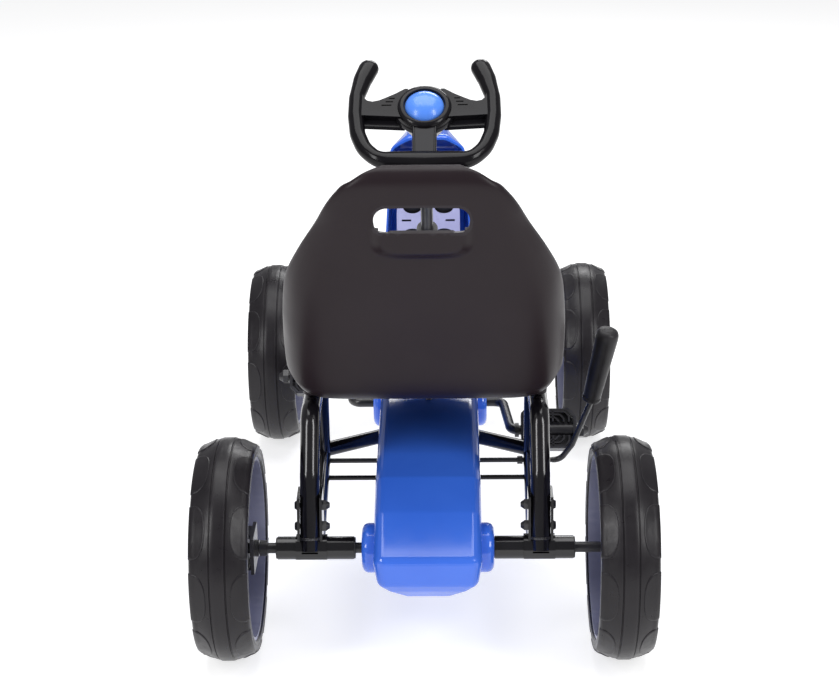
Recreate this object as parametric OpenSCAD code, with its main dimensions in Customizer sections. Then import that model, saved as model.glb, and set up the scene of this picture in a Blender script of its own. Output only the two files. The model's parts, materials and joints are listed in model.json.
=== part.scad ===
// Pedal go kart for a child: welded tube frame, bucket seat, chain drive to the
// left rear wheel, wheel steering and a hand brake.
// +X is the kart's right, +Y is forward, +Z is up, and the wheels stand on Z = 0.
// Inside the modules Y is counted from the rear axle; from_rear_axle() centres the kart.

/* [Overall] */
// Length from the back of the rear tyres to the front of the bumper
length = 910; // [880:5:940]
// Distance between the rear and the front axle
wheelbase = 600; // [590:1:610]
// Distance between the middles of the rear tyres
rear_track = 439; // [436:1:450]
// Distance between the middles of the front tyres
front_track = 434; // [432:1:444]

/* [Wheels] */
// Outside diameter of a tyre
tyre_d = 250; // [246:1:254]
// Width of a tyre
tyre_w = 63; // [58:1:64]
// Outside diameter of a rim
rim_d = 206; // [200:1:208]
// Diameter of the axles that the wheels sit on
axle_d = 12; // [11:0.5:13]
// Number of spokes in a rim
spokes = 5; // [3:1:7]

/* [Frame] */
// Outside diameter of the seat hoops and of the bumper
hoop_d = 22; // [20:1:23]
// Outside diameter of the side rails and of the cross tube
rail_d = 18; // [16:1:19]
// Outside diameter of the spine and of the front beam
beam_d = 28; // [26:1:30]
// Outside diameter of the rear axle's sleeves
sleeve_d = 26; // [24:1:28]
// Wall of every tube
wall = 1.6; // [1.2:0.2:2.2]

/* [Drive] */
// Distance of the crank's axis in front of the rear axle
crank_y = 351; // [348:0.5:354]
// Height of the crank's axis
crank_z = 152; // [148:1:156]
// Length of a crank arm
throw_r = 90; // [84:1:92]
// Diameter of the bent crank rod
crank_d = 12; // [10:1:13]
// Teeth on the chainring
ring_teeth = 25; // [24:1:26]
// Teeth on the axle's sprocket
cog_teeth = 16; // [15:1:17]
// Links in the chain
links = 76; // [76:2:78]
// Width of a pedal
pedal_w = 69; // [62:1:70]
// Length of a pedal
pedal_l = 52; // [46:1:53]
// Lean of the resting pedals from upright
pedal_lean = 37; // [30:1:45]

/* [Guard] */
// Half of the chain guard's width
guard_half = 60; // [58:1:62]
// Rounding of the guard's edges
guard_round = 12; // [10:1:14]
// Wall of the plastic shells
shell = 2.5; // [2:0.5:3.5]
// Sideways place of the guard's middle
guard_x = 3; // [0:1:4]

/* [Steering] */
// Lean of the steering column from upright
column_lean = 35; // [34:0.5:36]
// Diameter of the steering column
column_d = 16; // [14:1:18]
// Distance from a kingpin to the track rod
arm_l = 45; // [42:1:48]
// Distance of a kingpin from the middle of the kart
kingpin_x = 168; // [166:1:170]
// Diameter of the steering wheel's rim
rim_bar_d = 19; // [17:1:20]

/* [Seat] */
// Thickness of the seat shell
seat_t = 4; // [3:0.5:5]
// Columns of panels across the seat
seat_columns = 26; // [20:2:30]

/* [Brake] */
// Diameter of the brake rod and of the fixed rod
rod_d = 6; // [5:0.5:7]
// Diameter of the lever's rod
lever_d = 7; // [6:0.5:8]
// Length of the grip
grip_l = 100; // [90:1:105]

/* [Hidden] */
$fn = 64;
tyre_r = tyre_d / 2;
rim_r = rim_d / 2;
axle_r = axle_d / 2;
run = 0.05;          // radial clearance of a running fit
rear_y = tyre_r - length / 2;
rear_x = rear_track / 2;
front_x = front_track / 2;
hub_r = 19.5;
pitch = 12.7;
ring_r = pitch / (2 * sin(180 / ring_teeth));
cog_r = pitch / (2 * sin(180 / cog_teeth));
roller_r = 3.9;
chain_x = 15;        // the chain's plane
hub_at = [0, 329, 545];
column_dir = [0, sin(column_lean), -cos(column_lean)];
arm_dir = [0, -cos(column_lean), -sin(column_lean)];
track_y = wheelbase - arm_l;
// point on the column's axis where the pitman arm is
pitman_s = (track_y + arm_l * cos(column_lean) - hub_at.y) / column_dir.y;
pitman_at = hub_at + pitman_s * column_dir;
track_z = 130;
arm_z = 140;
arm_t = 5;
bracket_x = [110, 145];
hoop_x = 129;
rail_a = [122, 0, tyre_r];
rail_b = [127, 215, 146];
brake_at = [191, 143.6];
fixed_at = [151, 139.7];
bush_t = 2.2;

// ---- placing helpers ----

module from_rear_axle() translate([0, rear_y, 0]) children();
module left() mirror([1, 0, 0]) children();
// turns the child's +Z onto the kart's +X
module along_x() rotate([0, 90, 0]) children();
// draws a side view in (Y, Z) and extrudes it along X from x0 to x1
module side_view(x0, x1) translate([x0, 0, 0]) rotate([90, 0, 90])
    linear_extrude(x1 - x0) children();
module at_hub() translate(hub_at) rotate([column_lean, 0, 0]) children();

function unit(v) = v / norm(v);

// round bar from a to b, longer by e at both ends
module bar(a, b, d, e = 0) {
    v = b - a;
    translate(a) rotate([0, acos(v.z / norm(v)), atan2(v.y, v.x)])
        translate([0, 0, -e]) cylinder(d = d, h = norm(v) + 2 * e);
}

// bent piece of a bar at corner p, from direction u to direction v; it is a shade
// thicker than the straight runs, which reach a little way into it
swell = 0.2;
module bend(p, u, v, r, d) {
    n = unit(v - (u * v) * u);
    turn = acos(u * v);
    c = p - u * r * tan(turn / 2) + n * r;
    w = cross(u, n);
    multmatrix([[-n.x, u.x, w.x, c.x], [-n.y, u.y, w.y, c.y], [-n.z, u.z, w.z, c.z]])
        rotate_extrude(angle = turn) translate([r, 0]) circle(d = d + swell);
}

function cut_back(a, b, c, r) = let (u = unit(b - a), v = unit(c - b))
    r * tan(acos(u * v) / 2);

// solid bar through the points, bent with radius r at each inner point
module bent_bar(points, d, r, e = 0) {
    last = len(points) - 1;
    for (i = [0 : last - 1]) {
        u = unit(points[i + 1] - points[i]);
        start = i == 0 ? -e : cut_back(points[i - 1], points[i], points[i + 1], r) - 0.5;
        stop = i == last - 1 ? -e
            : cut_back(points[i], points[i + 1], points[i + 2], r) - 0.5;
        bar(points[i] + u * start, points[i + 1] - u * stop, d);
        if (i < last - 1)
            bend(points[i + 1], u, unit(points[i + 2] - points[i + 1]), r, d);
    }
}

// hollow tube through the points, open at both ends
module bent_tube(points, d, r) difference() {
    bent_bar(points, d, r);
    bent_bar(points, d - 2 * wall, r, 1);
}

module ring(r_out, r_in, h) difference() {
    cylinder(r = r_out, h = h);
    translate([0, 0, -1]) cylinder(r = r_in, h = h + 2);
}

// hexagonal nut with a dome, its flat side at Z = 0; hole for a thread of radius r
module dome_nut(r, across) difference() {
    union() {
        cylinder(d = across * 2 / sqrt(3), h = 0.42 * across, $fn = 6);
        translate([0, 0, 0.4 * across]) cylinder(d1 = 0.96 * across, d2 = 0.5 * across,
            h = 0.36 * across);
    }
    translate([0, 0, -1]) cylinder(r = r, h = 1 + 0.6 * across);
}

// ---- frame ----

module rear_sleeve(x0, x1) translate([x0, 0, tyre_r]) along_x()
    ring(sleeve_d / 2, sleeve_d / 2 - wall, x1 - x0);

module rear_sleeve_left() color("#15151a") from_rear_axle() rear_sleeve(-166, -80);
module rear_sleeve_right() color("#15151a") from_rear_axle() rear_sleeve(78, 166);

module sleeve_space() translate([78, 0, tyre_r]) along_x()
    cylinder(d = sleeve_d, h = 88);

module side_rail() difference() {
    bar(rail_a, rail_b, rail_d);
    bar(rail_a, rail_b, rail_d - 2 * wall, 1);
    sleeve_space();
    translate([90, brake_at.x, brake_at.y]) along_x() cylinder(r = rod_d / 2 + run, h = 80);
    translate([90, fixed_at.x, fixed_at.y]) along_x() cylinder(r = rod_d / 2, h = 80);
}
module side_rail_left() color("#15151a") from_rear_axle() left() side_rail();
module side_rail_right() color("#15151a") from_rear_axle() side_rail();

module rail_space() bar(rail_a, rail_b, rail_d, 1);

// bowed tube that ties the rails to the spine, with the crank's outer stay
cross_path = [[-128, 210, 149], [-36, 264, 149], [36, 264, 149], [128, 210, 149]];
stay_x = 34;
module cross_tube() color("#15151a") from_rear_axle() difference() {
    union() {
        bent_bar(cross_path, rail_d, 40);
        side_view(stay_x, stay_x + 4) polygon([[262, 141], [262, 159], [crank_y, 166],
            [crank_y, 138]]);
        translate([stay_x - 3, crank_y, crank_z]) along_x() cylinder(r = 14, h = 10);
    }
    bent_bar(cross_path, rail_d - 2 * wall, 40, 1);
    translate([stay_x - 9, crank_y, crank_z]) along_x() cylinder(r = 10, h = 20);
    rail_space();
    left() rail_space();
    hoop_space();
    left() hoop_space();
}

spine_path = [[-27, 264, 140], [-27, 396, 140], [0, 446, 118], [0, 490, 106],
    [0, wheelbase, 106]];
module spine_tube() color("#15151a") from_rear_axle() difference() {
    union() {
        bent_bar(spine_path, beam_d, 60);
        translate([-60, crank_y, crank_z]) along_x() cylinder(r = 14, h = 54);
    }
    bent_bar(spine_path, beam_d - 2 * wall, 60, 1);
    translate([-61, crank_y, crank_z]) along_x() cylinder(r = 10, h = 56);
    bent_bar(cross_path, rail_d, 40);
    beam_space();
}

module beam_space() translate([-150, wheelbase, tyre_r]) along_x()
    cylinder(d = beam_d, h = 300);

// front beam with a forked end for each kingpin, the column's lower bearing and the
// two stays that hold the fairing
lug_z = [96, 154];
module front_beam() color("#15151a") from_rear_axle() difference() {
    union() {
        translate([-144, wheelbase, tyre_r]) along_x() cylinder(d = beam_d, h = 288);
        for (s = [-1, 1]) {
            translate([s * 146, wheelbase, tyre_r]) cube([5, 30, 67], center = true);
            for (z = lug_z) translate([0, wheelbase, z]) {
                translate([s * 157 - 12, -12, -2.5]) cube([24, 24, 5]);
                translate([s * kingpin_x, 0, -2.5]) cylinder(r = 12, h = 5);
            }
            bent_bar([[s * 36, wheelbase, 130], [s * 36, 612, 190], [s * 30, 676, 262]],
                9, 20);
        }
        on_column(foot_s) cylinder(r = 12, h = 24);
    }
    translate([-141, wheelbase, tyre_r]) along_x()
        cylinder(d = beam_d - 2 * wall, h = 282);
    for (s = [-1, 1]) translate([s * kingpin_x, wheelbase, 80])
        cylinder(r = 5, h = 90);
    on_column(foot_s + 4) cylinder(r = column_d / 2 + bush_t, h = 40);
}

module kingpins() color("#8d9098") from_rear_axle() for (s = [-1, 1])
    translate([s * kingpin_x, wheelbase, 0]) {
        translate([0, 0, 93.5]) cylinder(r = 5, h = 68);
        translate([0, 0, 87.5]) cylinder(d = 18.5, h = 6, $fn = 6);
        translate([0, 0, 156.5]) difference() {
            cylinder(d = 18.5, h = 8, $fn = 6);
            translate([0, 0, -1]) cylinder(r = 5, h = 6);
        }
    }

// places the child on the column's axis, s below the steering wheel's hub
module on_column(s) translate(hub_at + s * column_dir) rotate([column_lean, 0, 0])
    children();
upper_s = 235;
foot_s = pitman_s + 38;

module column_post() color("#15151a") from_rear_axle() difference() {
    top = hub_at + (upper_s + 22) * column_dir;
    union() {
        bar([0, 470, 112], [0, top.y - 12, top.z - 2], 22);
        on_column(upper_s + 44) cylinder(r = 14, h = 44);
    }
    bar([0, 470, 100], [0, top.y - 12, top.z - 30], 22 - 2 * wall);
    on_column(upper_s + 46) cylinder(r = column_d / 2 + bush_t, h = 50);
    bent_bar(spine_path, beam_d, 60);
}

module bumper() color("#15151a") from_rear_axle() {
    front = length - tyre_r - hoop_d / 2;
    difference() {
        bent_tube([[-64, wheelbase, 121], [-112, 690, 112], [-76, front, 112],
            [76, front, 112], [112, 690, 112], [64, wheelbase, 121]], hoop_d, 30);
        beam_space();
    }
}

hoop_path = [[hoop_x, -9, tyre_r + 1], [hoop_x, 20, 205], [hoop_x, 58, 263],
    [hoop_x, 200, 263], [hoop_x, 206, 146]];
module hoop_space() bent_bar([hoop_path[3], hoop_path[4]], hoop_d, 24);

bolt_at = [[1, 152], [9, 174]];
seat_screw_y = [95, 168];
module seat_hoop() difference() {
    bent_tube(hoop_path, hoop_d, 24);
    sleeve_space();
    rail_space();
    for (b = bolt_at) translate([90, b.x, b.y]) along_x() cylinder(r = 3, h = 80);
    for (y = seat_screw_y) translate([hoop_x, y, 240]) cylinder(r = 3, h = 50);
}
module seat_hoop_left() color("#15151a") from_rear_axle() left() seat_hoop();
module seat_hoop_right() color("#15151a") from_rear_axle() seat_hoop();

// saddle on the sleeve with an upright ear on each side of the hoop's leg
module seat_bracket() difference() {
    union() {
        translate([bracket_x[0], 0, tyre_r]) along_x()
            cylinder(d = sleeve_d + 5, h = bracket_x[1] - bracket_x[0]);
        for (x = [hoop_x - hoop_d / 2 - 3, hoop_x + hoop_d / 2 + 0.2]) side_view(x, x + 2.8)
            polygon([[-11, tyre_r + 2], [-6, 150], [2, 186], [28, 188], [28, tyre_r + 2]]);
    }
    sleeve_space();
    bar(rail_a, rail_b, rail_d, 1);
    bent_bar([hoop_path[0], hoop_path[1]], hoop_d, 24, 3);
    translate([0, -50, 0]) cube([200, 100, tyre_r - 8]);
    for (b = bolt_at) translate([90, b.x, b.y]) along_x() cylinder(r = 3, h = 80);
}
module seat_bracket_left() color("#15151a") from_rear_axle() left() seat_bracket();
module seat_bracket_right() color("#15151a") from_rear_axle() seat_bracket();

module each_side() {
    children();
    left() children();
}

module frame_bolts() color("#3a3b40") from_rear_axle() each_side() for (b = bolt_at)
    translate([0, b.x, b.y]) along_x() {
        translate([0, 0, hoop_x - 20]) cylinder(r = 3, h = 34);
        translate([0, 0, hoop_x + 14]) cylinder(r1 = 5.6, r2 = 4, h = 3);
    }
module frame_nuts() color("#2a2b30") from_rear_axle() each_side() for (b = bolt_at)
    translate([hoop_x - 14, b.x, b.y]) rotate([0, -90, 0]) dome_nut(3, 11);

module fixed_rod() color("#15151a") from_rear_axle()
    translate([-134, fixed_at.x, fixed_at.y]) along_x() cylinder(d = rod_d, h = 268);

// ---- bushes ----

module flanged_bush(r_out, r_in, l, flange_r, t = 1.5) difference() {
    union() {
        cylinder(r = r_out, h = l);
        translate([0, 0, -t]) cylinder(r = flange_r, h = t);
    }
    translate([0, 0, -t - 1]) cylinder(r = r_in, h = l + t + 2);
}
module axle_bushes() color("#2c2c30") from_rear_axle() for (x = [[-166, 1], [-80, -1],
    [78, 1], [166, -1]]) translate([x[0], 0, tyre_r]) rotate([0, 90 * x[1], 0])
        flanged_bush(sleeve_d / 2 - wall, axle_r + run, 14, sleeve_d / 2 - 1);
module crank_bushes() color("#2c2c30") from_rear_axle()
    for (x = [[-60, 1], [-6, -1], [stay_x + 7, -1]]) translate([x[0], crank_y, crank_z])
        rotate([0, 90 * x[1], 0])
            flanged_bush(10, crank_d / 2 + run, x[0] > 0 ? 10 : 14, 12);
module column_bushes() color("#2c2c30") from_rear_axle() {
    r = column_d / 2 + bush_t;
    on_column(upper_s) rotate([180, 0, 0]) flanged_bush(r, column_d / 2 + run, 14, r + 2.5);
    on_column(upper_s + 44) flanged_bush(r, column_d / 2 + run, 14, r + 2.5);
    on_column(foot_s - 24) rotate([180, 0, 0])
        flanged_bush(r, column_d / 2 + run, 18, r + 1.2);
}

// ---- seat ----

// stations along the shell from its front lip to its top:
// [Y, Z of the outer face, half width, how far the sides turn in towards the rider]
stations = [[302, 253, 98, 0], [300, 265, 104, 3], [286, 272, 110, 6],
    [240, 273, 117, 12], [190, 272, 134, 22], [140, 271, 144, 30], [100, 271, 150, 36],
    [72, 276, 153, 40], [55, 287, 155, 42], [47, 303, 156, 42], [37, 340, 157, 41],
    [23, 385, 155, 38], [10, 425, 149, 33], [-2, 462, 133, 26], [-14, 500, 112, 18],
    [-22, 524, 100, 13], [-28, 543, 88, 9], [-30, 555, 79, 7], [-28, 564, 68, 4],
    [-23, 570.5, 56, 2], [-15, 573.5, 40, 0]];

function path_dir(i) = let (a = stations[max(i - 1, 0)],
    b = stations[min(i + 1, len(stations) - 1)]) unit([b[0] - a[0], b[1] - a[1]]);
// point of the shell at station i and cross fraction t (-1 to 1), depth into the rider's side
function seat_point(i, t, depth) = let (s = stations[i], d = path_dir(i),
    turn = s[3] * pow(abs(t), 8) + depth)
    [s[2] * sin(90 * t) * 0.35 + s[2] * t * 0.65, s[0] + turn * d[1], s[1] - turn * d[0]];

module seat() color("#2b282c") from_rear_axle() {
    rows = len(stations);
    cols = seat_columns + 1;
    grid = rows * cols;
    points = [for (depth = [0, seat_t]) for (i = [0 : rows - 1]) for (j = [0 : cols - 1])
        seat_point(i, 2 * j / seat_columns - 1, depth)];
    cells = [for (i = [0 : rows - 2]) for (j = [0 : cols - 2]) i * cols + j];
    outer = [for (c = cells) each [[c, c + cols, c + 1], [c + 1, c + cols, c + cols + 1]]];
    inner = [for (f = outer) [f[0] + grid, f[2] + grid, f[1] + grid]];
    rim = concat([for (j = [0 : cols - 1]) j], [for (i = [1 : rows - 1]) (i + 1) * cols - 1],
        [for (j = [cols - 2 : -1 : 0]) (rows - 1) * cols + j],
        [for (i = [rows - 2 : -1 : 1]) i * cols]);
    edge = [for (k = [0 : len(rim) - 1]) let (a = rim[k], b = rim[(k + 1) % len(rim)])
        each [[a, b, b + grid], [a, b + grid, a + grid]]];
    difference() {
        union() {
            polyhedron(points, concat(outer, inner, edge));
            each_side() for (y = seat_screw_y) translate([hoop_x, y, 274.2])
                cylinder(r = 10, h = seat_boss_top(y) - 274.2);
        }
        hand_hole();
        each_side() for (y = seat_screw_y) translate([hoop_x, y, 270])
            cylinder(r = 3, h = 8);
    }
}
// height that the bosses under the seat reach, inside its shell
function seat_boss_top(y) = y < 120 ? 278.4 : 280;

// slot through the top of the seat's back
module hand_hole() translate([0, -20, 516]) rotate([90, 0, 0])
    translate([0, 0, -40]) {
        for (s = [-1, 1]) translate([s * 36, 0, 0]) cylinder(r = 14, h = 80);
        translate([-36, -14, 0]) cube([72, 28, 80]);
    }

// screws from under the hoops up into the seat's bosses
module seat_screws() color("#8d9098") from_rear_axle() each_side()
    for (y = seat_screw_y) translate([hoop_x, y, 0]) {
        translate([0, 0, 251]) cylinder(r = 3, h = 26.5);
        translate([0, 0, 247.6]) cylinder(r = 6, h = 4);
    }

// ---- chain guard ----

// centres of the rounded edge along the side view, [Y, Z, distance from the middle]
edge_x = guard_half - guard_round;
guard_edge = concat([[-46, 131, edge_x], [3, 159.5, edge_x], [51, 178, edge_x],
    [102, 184, edge_x], [-46, 112, edge_x - 3], [-40, 104, edge_x - 10],
    [-28, 92, 22], [0, 92, 33], [300, 96, 28]],
    [for (a = [90, 65, 40, 15, -10, -35])
        [crank_y + 51 * cos(a), crank_z + 51 * sin(a), edge_x]],
    [[crank_y + 4, 101, 30], [crank_y + 30, 108, 30]]);

module guard_body(r) hull() for (p = guard_edge) for (s = [-1, 1])
    translate([s * p[2], p[0], p[1]]) sphere(r = r, $fn = 28);
module guard_boss(y, z, r, half) translate([0, y, z]) along_x() for (s = [0, 1])
    mirror([0, 0, s]) rotate_extrude($fn = 64) polygon(concat([[0, 0], [r, 0]],
        [for (a = [0 : 15 : 90]) [r - 8 + 8 * cos(a), half - 8 + 8 * sin(a)]],
        [[0, half]]));
module guard_solid() translate([guard_x, 0, 0]) {
    guard_body(guard_round);
    guard_boss(0, tyre_r, 28, 74);
    guard_boss(crank_y, crank_z, 31, 73);
}
module guard_space() {
    translate([guard_x, 0, 0]) {
        guard_body(guard_round - shell);
        for (p = [[0, tyre_r, 25, 71], [crank_y, crank_z, 28, 70]])
            translate([-p[3], p[0], p[1]]) along_x() cylinder(r = p[2], h = 2 * p[3]);
    }
    translate([-100, 0, tyre_r]) along_x() cylinder(r = sleeve_d / 2, h = 200);
    translate([-100, crank_y, crank_z]) along_x() cylinder(r = crank_d / 2 + 3, h = 200);
    bent_bar(cross_path, rail_d + 4, 40);
    bent_bar([[-27, 340, 140], spine_path[1], spine_path[2]], beam_d + 6, 60);
    for (p = [brake_at, fixed_at]) translate([-100, p.x, p.y]) along_x()
        cylinder(r = rod_d / 2 + 1, h = 200);
}
// everything above the parting line, which rises gently towards the crank
module above_parting() side_view(-100, 100)
    polygon([[-90, 119], [450, 160], [450, 260], [-90, 260]]);
module guard_upper() color("#2456c8") from_rear_axle() difference() {
    intersection() {
        difference() {
            guard_solid();
            guard_space();
        }
        above_parting();
    }
    for (y = guard_screw_y) translate([guard_x, y, 180]) cylinder(r = 2, h = 50);
}
module guard_lower() color("#2456c8") from_rear_axle() difference() {
    guard_solid();
    guard_space();
    above_parting();
}
guard_screw_y = [235, 300];
function guard_top(y) = 196 + (y - 102) * (215 - 196) / (crank_y - 102);
module guard_screws() color("#8d9098") from_rear_axle() for (y = guard_screw_y)
    translate([guard_x, y, guard_top(y) + 0.4]) {
        translate([0, 0, -12]) cylinder(r = 2, h = 12.2);
        cylinder(r1 = 4, r2 = 3, h = 1.8);
    }

// ---- fairing ----

fairing_points = [[598, 196, 50], [598, 300, 46], [598, 418, 38], [602, 430, 22],
    [640, 190, 50], [704, 205, 40], [700, 300, 40], [668, 398, 34], [640, 428, 20]];
module fairing_body(r) hull() for (p = fairing_points) for (s = [-1, 1])
    translate([s * p[2], p[0], p[1]]) sphere(r = r, $fn = 28);
module fairing() color("#2456c8") from_rear_axle() difference() {
    fairing_body(14);
    fairing_body(14 - shell);
    side_view(-100, 100) polygon([[560, 150], [606, 150], [606, 200], [592, 470],
        [560, 470]]);
    translate([-100, 560, 150]) cube([200, 200, 42]);
}

// ---- chain ----

chain_c = norm([crank_y, crank_z - tyre_r]);
chain_turn = atan2(crank_z - tyre_r, crank_y);
wrap = asin((ring_r - cog_r) / chain_c);
run_l = sqrt(pow(chain_c, 2) - pow(ring_r - cog_r, 2));
ring_arc = ring_r * (180 + 2 * wrap) * PI / 180;
cog_arc = cog_r * (180 - 2 * wrap) * PI / 180;
loop_l = 2 * run_l + ring_arc + cog_arc;
step = loop_l / links;

// place s along the loop, from the foremost roller, in the chain's own plane:
// the rear axle is the origin and the crank is at [chain_c, 0]
function loop_at(s) =
    s < ring_arc / 2 ? let (a = s / ring_r * 180 / PI)
        [chain_c + ring_r * cos(a), ring_r * sin(a)] :
    s < ring_arc / 2 + run_l ? let (a = 90 + wrap, f = (s - ring_arc / 2) / run_l)
        (1 - f) * [chain_c + ring_r * cos(a), ring_r * sin(a)]
            + f * [cog_r * cos(a), cog_r * sin(a)] :
    s < loop_l / 2 + 0.001 ? let (a = 90 + wrap + (s - ring_arc / 2 - run_l) / cog_r * 180 / PI)
        [cog_r * cos(a), cog_r * sin(a)] :
    let (p = loop_at(loop_l - s)) [p.x, -p.y];

module in_chain_plane() translate([chain_x, 0, tyre_r]) rotate([chain_turn, 0, 0])
    rotate([90, 0, 90]) children();

module link_plate(a, b, z0, t) {
    d = b - a;
    translate([a.x, a.y, z0]) rotate([0, 0, atan2(d.y, d.x)]) linear_extrude(t) {
        translate([0, -3]) square([norm(d), 6]);
        circle(r = 4);
        translate([norm(d), 0]) circle(r = 4);
    }
}
module chain() color("#4a4a4e") from_rear_axle() in_chain_plane()
    for (i = [0 : links - 1]) {
        a = loop_at(i * step);
        b = loop_at((i + 1) * step >= loop_l ? 0 : (i + 1) * step);
        inner = i % 2 == 0;
        for (s = [0, 1]) mirror([0, 0, s]) link_plate(a, b, inner ? 1.7 : 2.8, 1);
        if (inner) for (p = [a, b]) translate([p.x, p.y, -1.8])
            cylinder(r = roller_r, h = 3.6);
        else for (p = [a, b]) translate([p.x, p.y, -4.6]) cylinder(r = 1.7, h = 9.2);
    }

// toothed disc whose first tooth space points along +X
module sprocket(teeth, r, bore) difference() {
    cylinder(r = r + 1.2, h = 2.2, center = true);
    for (i = [0 : teeth - 1]) rotate([0, 0, i * 360 / teeth])
        translate([r, 0, -2]) cylinder(r = roller_r + 0.8, h = 4);
    cylinder(r = bore, h = 10, center = true);
}

// ---- rear axle ----

module rear_axle_shaft() color("#1b1b1f") from_rear_axle() translate([-239, 0, tyre_r])
    along_x() cylinder(r = axle_r, h = 478);
module axle_sprocket() color("#5a5b60") from_rear_axle() in_chain_plane() {
    rotate([0, 0, 180]) sprocket(cog_teeth, cog_r, axle_r);
    for (s = [0, 1]) mirror([0, 0, s]) translate([0, 0, 1.1]) ring(14, axle_r, 7);
}
module brake_drum() color("#5a5b60") from_rear_axle() translate([-41, 0, tyre_r])
    along_x() difference() {
        cylinder(r = 30, h = 18);
        translate([0, 0, 3]) cylinder(r = 26, h = 16);
        translate([0, 0, -1]) cylinder(r = axle_r, h = 20);
    }
module axle_collar() color("#1b1b1f") from_rear_axle() translate([-186, 0, tyre_r])
    along_x() ring(9, axle_r, 9);

// channel-shaped driver that keys the left wheel's hub to the axle
module drive_carrier() color("#1b1b1f") from_rear_axle() translate([-205, 0, tyre_r])
    difference() {
        union() {
            translate([10, -22, -22]) cube([4, 44, 44]);
            for (z = [-22, 18]) translate([-4, -12, z]) cube([16, 24, 4]);
            translate([10, 0, 0]) along_x() cylinder(r = 9.5, h = 8);
        }
        translate([-30, 0, 0]) along_x() cylinder(r = axle_r, h = 60);
    }
module axle_nuts() color("#8d9098") from_rear_axle() for (s = [-1, 1])
    translate([s * (rear_x + 17.5), 0, tyre_r]) rotate([0, s * 90, 0]) dome_nut(axle_r, 18);

// ---- wheels, drawn with the outer side towards +Z ----

module tyre() rotate_extrude() polygon(concat(
    [[rim_r, -0.46 * tyre_w], [rim_r + 2, -tyre_w / 2]],
    shoulder(-1), tread_half(-1), [for (i = [3 : -1 : 0]) tread_half(1)[3 - i]],
    shoulder_up(), [[rim_r + 2, tyre_w / 2], [rim_r, 0.46 * tyre_w]]));
// rounded corner between the sidewall and the sloping tread
function shoulder(s) = [for (a = [-80 : 20 : -20]) [tyre_r - 14 + 6 * cos(a),
    s * (tyre_w / 2 - 6) + 6 * sin(a)]];
function shoulder_up() = [for (a = [20 : 20 : 80]) [tyre_r - 14 + 6 * cos(a),
    tyre_w / 2 - 6 + 6 * sin(a)]];
// the crown's edge, its narrow groove and the crown, from the given side
function tread_half(s) = s < 0 ?
    [[tyre_r - 1.2, -9.4], [tyre_r - 2, -8.6], [tyre_r, -7.6], [tyre_r, -2]] :
    [[tyre_r, 2], [tyre_r, 7.6], [tyre_r - 2, 8.6], [tyre_r - 1.2, 9.4]];

// barrel, web and hub in one turn, with ribs inside and broad spokes outside
module rim() {
    half = 0.46 * tyre_w;
    bore = axle_r + run;
    rotate_extrude() polygon([[bore, -20], [hub_r, -20], [hub_r, 4], [rim_r - 4, 4],
        [rim_r - 4, -half], [rim_r, -half], [rim_r, half], [rim_r - 4, half],
        [rim_r - 4, 8], [hub_r, 8], [hub_r, 17], [bore, 17]]);
    for (i = [0 : spokes - 1]) rotate([0, 0, i * 360 / spokes]) {
        for (a = [-12, 12]) rotate([0, 0, a]) translate([hub_r - 2, -2, -10])
            cube([rim_r - hub_r, 4, 15]);
        translate([hub_r - 3, -11, 7]) cube([rim_r - hub_r + 1, 22, 7]);
    }
}

module rear_wheel_place(s) translate([s * rear_x, 0, tyre_r]) rotate([0, s * 90, 0])
    children();
module rear_tyre_left() color("#2c2a2d") from_rear_axle() rear_wheel_place(-1) tyre();
module rear_tyre_right() color("#2c2a2d") from_rear_axle() rear_wheel_place(1) tyre();
module rear_rim_left() color("#77788f") from_rear_axle() difference() {
    rear_wheel_place(-1) rim();
    translate([-205, 0, tyre_r]) for (z = [-22.4, 17.6])
        translate([-4.4, -12.4, z]) cube([34, 24.8, 4.8]);
    translate([-206, -22.5, tyre_r - 22.5]) translate([10.8, 0, 0]) cube([40, 45, 45]);
}
module rear_rim_right() color("#77788f") from_rear_axle() rear_wheel_place(1) rim();

module front_wheel_place(s) translate([s * front_x, wheelbase, tyre_r])
    rotate([0, s * 90, 0]) children();
module front_tyre_left() color("#2c2a2d") from_rear_axle() front_wheel_place(-1) tyre();
module front_tyre_right() color("#2c2a2d") from_rear_axle() front_wheel_place(1) tyre();
module front_rim_left() color("#77788f") from_rear_axle() front_wheel_place(-1) rim();
module front_rim_right() color("#77788f") from_rear_axle() front_wheel_place(1) rim();

// ---- crank and pedals ----

arm_x = 101;
pin_x = 190;
// bent rod through the crank's axis, its right arm pointing back and its left one forward
crank_path = [[-pin_x, crank_y + throw_r, crank_z], [-arm_x - 4, crank_y + throw_r, crank_z],
    [-arm_x + 4, crank_y, crank_z], [arm_x - 4, crank_y, crank_z],
    [arm_x + 4, crank_y - throw_r, crank_z], [pin_x, crank_y - throw_r, crank_z]];
module crank_rod() color("#1b1b1f") from_rear_axle() {
    bent_bar(crank_path, crank_d, 12);
    for (s = [-1, 1]) translate([s * (arm_x + 11) - 2.5, crank_y - s * throw_r, crank_z])
        along_x() cylinder(r = 9, h = 5);
}
module chainring() color("#5a5b60") from_rear_axle() translate([0, crank_y, crank_z])
    translate([chain_x, 0, 0]) rotate([chain_turn, 0, 0]) rotate([90, 0, 90])
        difference() {
            union() {
                sprocket(ring_teeth, ring_r, crank_d / 2);
                translate([0, 0, -9]) ring(13, crank_d / 2, 16);
            }
            for (i = [0 : 4]) rotate([0, 0, 36 + i * 72]) translate([29, 0, -10])
                cylinder(r = 9, h = 20);
        }
module pedal_caps() color("#1b1b1f") from_rear_axle() for (s = [-1, 1])
    translate([s * (pin_x - 2), crank_y - s * throw_r, crank_z]) rotate([0, s * 90, 0])
        dome_nut(crank_d / 2, 17);

pedal_x0 = pin_x - 4 - pedal_w;
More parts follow.
